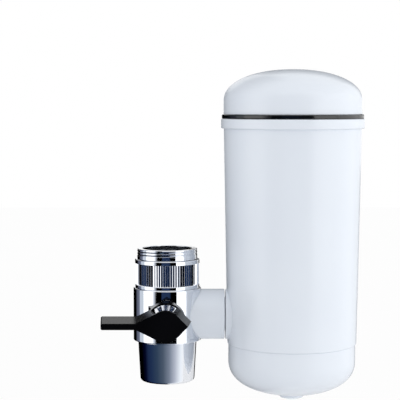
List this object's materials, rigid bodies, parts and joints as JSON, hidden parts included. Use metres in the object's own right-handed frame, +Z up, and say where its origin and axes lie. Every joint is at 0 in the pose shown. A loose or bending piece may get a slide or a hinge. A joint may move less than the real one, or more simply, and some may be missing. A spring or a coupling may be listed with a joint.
{
  "type": "faucet mount water filter",
  "caption": "Tap-end water filter: threaded adapter, ribbed union nut, diverter valve with a black lever and aerator, and an upright domed white cartridge housing on a side arm.",
  "frame": {"origin": "centre of the adapter's threaded mouth, at its top face", "axes": "+Z up along the adapter's bore, +X from the valve to the filter, the lever faces -Y"},
  "size_m": [0.1211, 0.0708, 0.1535],
  "materials": {
    "chrome": "polished plating",
    "white_plastic": "glossy white",
    "black_plastic": "glossy black",
    "inner_plastic": "satin moulding",
    "rubber": "matt",
    "brass": "machined",
    "spring_steel": "bright",
    "carbon": "pressed granules",
    "fleece": "soft fleece"
  },
  "bodies": {
    "adapter": {"faucet_adapter": "chrome", "faucet_washer": "rubber"},
    "valve": {"valve_body": "chrome", "neck_gasket": "rubber", "neck_snap_ring": "spring_steel", "bonnet": "chrome", "aerator_shell": "chrome", "aerator_washer": "rubber", "aerator_insert": "inner_plastic", "aerator_screen": "spring_steel", "outlet_arm": "white_plastic", "arm_o_ring_valve": "rubber", "arm_o_ring_filter": "rubber", "arm_clip": "spring_steel", "filter_housing": "white_plastic", "bottom_cap": "white_plastic", "cartridge_bottom": "inner_plastic", "cartridge_o_ring": "rubber", "carbon_block": "carbon", "fleece_wrap": "fleece", "cartridge_sleeve": "inner_plastic", "cartridge_top": "inner_plastic"},
    "nut": {"union_nut": "chrome"},
    "diverter": {"lever": "black_plastic", "lever_insert": "brass", "valve_spool": "brass", "spool_o_ring_front": "rubber", "spool_o_ring_back": "rubber", "stem_o_ring": "rubber"},
    "cap_seal": {"seal_ring": "black_plastic"},
    "cap": {"top_cap": "white_plastic"}
  },
  "joints": [
    {"name": "swivel", "type": "hinge", "parent": "adapter", "child": "valve", "pos_m": [0, 0, -0.012], "axis": [0, 0, 1], "continuous": true},
    {"name": "nut_turn", "type": "hinge", "parent": "valve", "child": "nut", "pos_m": [0, 0, -0.0113], "axis": [0, 0, 1], "continuous": true},
    {"name": "lever_turn", "type": "hinge", "parent": "valve", "child": "diverter", "pos_m": [0, -0.02, -0.031], "axis": [0, -1, 0], "range_deg": [0, 90]},
    {"name": "cap_lift", "type": "slide", "parent": "valve", "child": "cap_seal", "axis": [0, 0, 1], "range_m": [0, 0.012]},
    {"name": "cap_turn", "type": "hinge", "parent": "cap_seal", "child": "cap", "pos_m": [0.0583, 0, 0.0623], "axis": [0, 0, 1], "range_deg": [0, 1080]}
  ],
  "couplings": [
    {"joint": "cap_lift", "follows": "cap_turn", "m_per_rad": 0.00063661}
  ]
}
